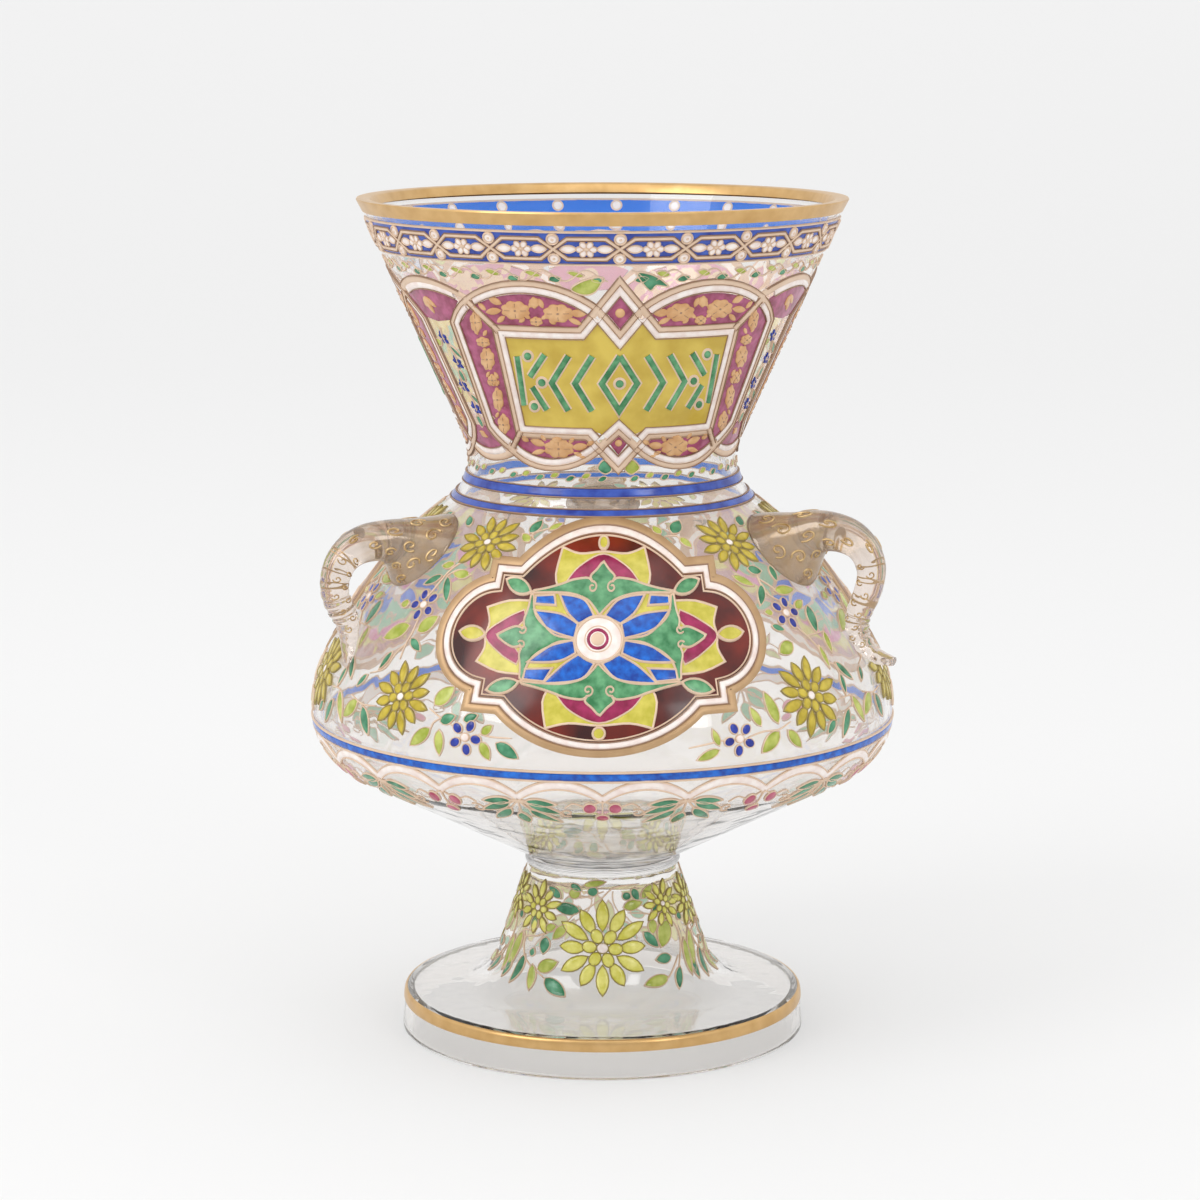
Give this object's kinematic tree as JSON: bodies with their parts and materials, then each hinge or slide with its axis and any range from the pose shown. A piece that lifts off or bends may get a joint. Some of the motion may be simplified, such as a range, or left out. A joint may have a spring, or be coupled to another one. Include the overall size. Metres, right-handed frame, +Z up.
{
  "type": "mosque lamp",
  "caption": "Footed glass mosque lamp with a flared neck, wide belly, pedestal foot and applied trunk handles, decorated with fired enamel strapwork, medallions and gilding.",
  "frame": {"origin": "on the table, at the axis of the round foot", "axes": "+Z up along the lamp's axis, -Y towards the viewer with one medallion in front, +X to the viewer's right"},
  "size_m": [0.1676, 0.1739, 0.24],
  "materials": {
    "clear_glass": "gloss",
    "gilding": "satin",
    "enamel_blue": "gloss",
    "enamel_white": "gloss",
    "enamel_yellow": "gloss",
    "enamel_green": "gloss",
    "enamel_plum": "gloss",
    "enamel_tan": "gloss",
    "enamel_red_brown": "gloss",
    "enamel_crimson": "gloss"
  },
  "bodies": {
    "root": {"vessel": "clear_glass", "joining_wafer": "clear_glass", "foot": "clear_glass", "handle_left": "clear_glass", "handle_right": "clear_glass", "handle_back": "clear_glass", "rim_gilding": "gilding", "border_gilt_lines": "gilding", "border_gilt_lattice": "gilding", "cartouche_gilt_straps": "gilding", "waist_gilt_lines": "gilding", "medallion_gilt_frames": "gilding", "belly_gilt_lines": "gilding", "foot_gilding": "gilding", "border_blue_band": "enamel_blue", "border_pearls": "enamel_white", "border_rosettes": "enamel_white", "cartouche_yellow_panels": "enamel_yellow", "cartouche_green_bars": "enamel_green", "cartouche_white_straps": "enamel_white", "cartouche_plum_fields": "enamel_plum", "cartouche_tan_blossoms": "enamel_tan", "neck_leaf_rows": "enamel_green", "neck_blue_sprays": "enamel_blue", "waist_ring_upper": "enamel_blue", "waist_ring_lower": "enamel_blue", "medallion_grounds": "enamel_red_brown", "medallion_white_frames": "enamel_white", "medallion_blue_petals": "enamel_blue", "medallion_green_fields": "enamel_green", "medallion_yellow_palmettes": "enamel_yellow", "medallion_rose_crescents": "enamel_crimson", "medallion_centres": "enamel_white", "shoulder_yellow_blossoms": "enamel_yellow", "shoulder_blue_blossoms": "enamel_blue", "shoulder_leaves": "enamel_green", "belly_blue_ring": "enamel_blue", "scallop_border": "enamel_white", "berry_clusters": "enamel_crimson", "leaf_fans": "enamel_green", "foot_blossoms": "enamel_yellow", "foot_leaves": "enamel_green"}
  },
  "joints": []
}
